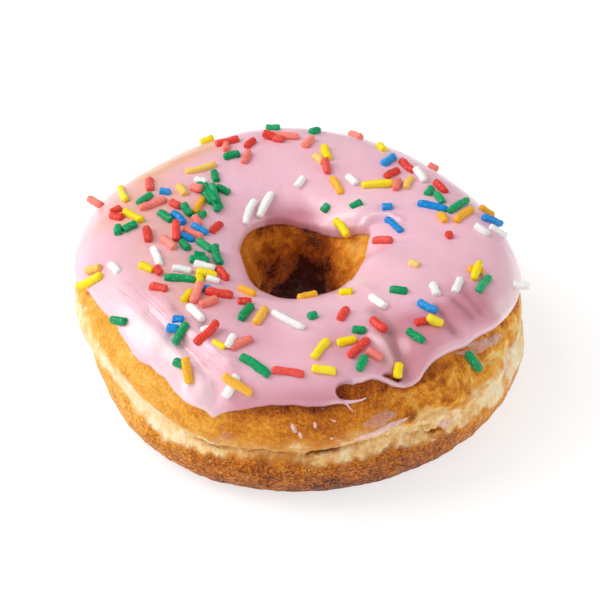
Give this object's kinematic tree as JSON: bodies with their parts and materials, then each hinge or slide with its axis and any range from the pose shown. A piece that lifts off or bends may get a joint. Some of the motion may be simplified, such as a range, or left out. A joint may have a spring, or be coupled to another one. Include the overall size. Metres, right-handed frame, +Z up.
{
  "type": "sprinkle frosted ring doughnut",
  "caption": "Raised ring doughnut with a pale fried seam, poured pink icing with ragged edges, and mixed rod sprinkles; rests flat.",
  "frame": {"origin": "centre of the bounding box at the flat underside, on the surface that the doughnut rests on", "axes": "+Z up along the hole's axis; -Y is the front, where the icing's pointed drip and its bitten edge are"},
  "size_m": [0.0969, 0.0952, 0.0354],
  "materials": {
    "crust": "fried yeast dough, golden brown, paler round the seam, fine matt grain with an oily sheen",
    "icing": "poured sugar icing, pale pink, satin to glossy, slightly translucent",
    "sprinkle_red": "hard sugar rod, red, satin",
    "sprinkle_pink": "hard sugar rod, salmon pink, satin",
    "sprinkle_orange": "hard sugar rod, orange, satin",
    "sprinkle_yellow": "hard sugar rod, yellow, satin",
    "sprinkle_green": "hard sugar rod, green, satin",
    "sprinkle_blue": "hard sugar rod, blue, satin",
    "sprinkle_white": "hard sugar rod, white, satin"
  },
  "bodies": {
    "root": {"dough": "crust", "icing": "icing"}
  },
  "joints": []
}
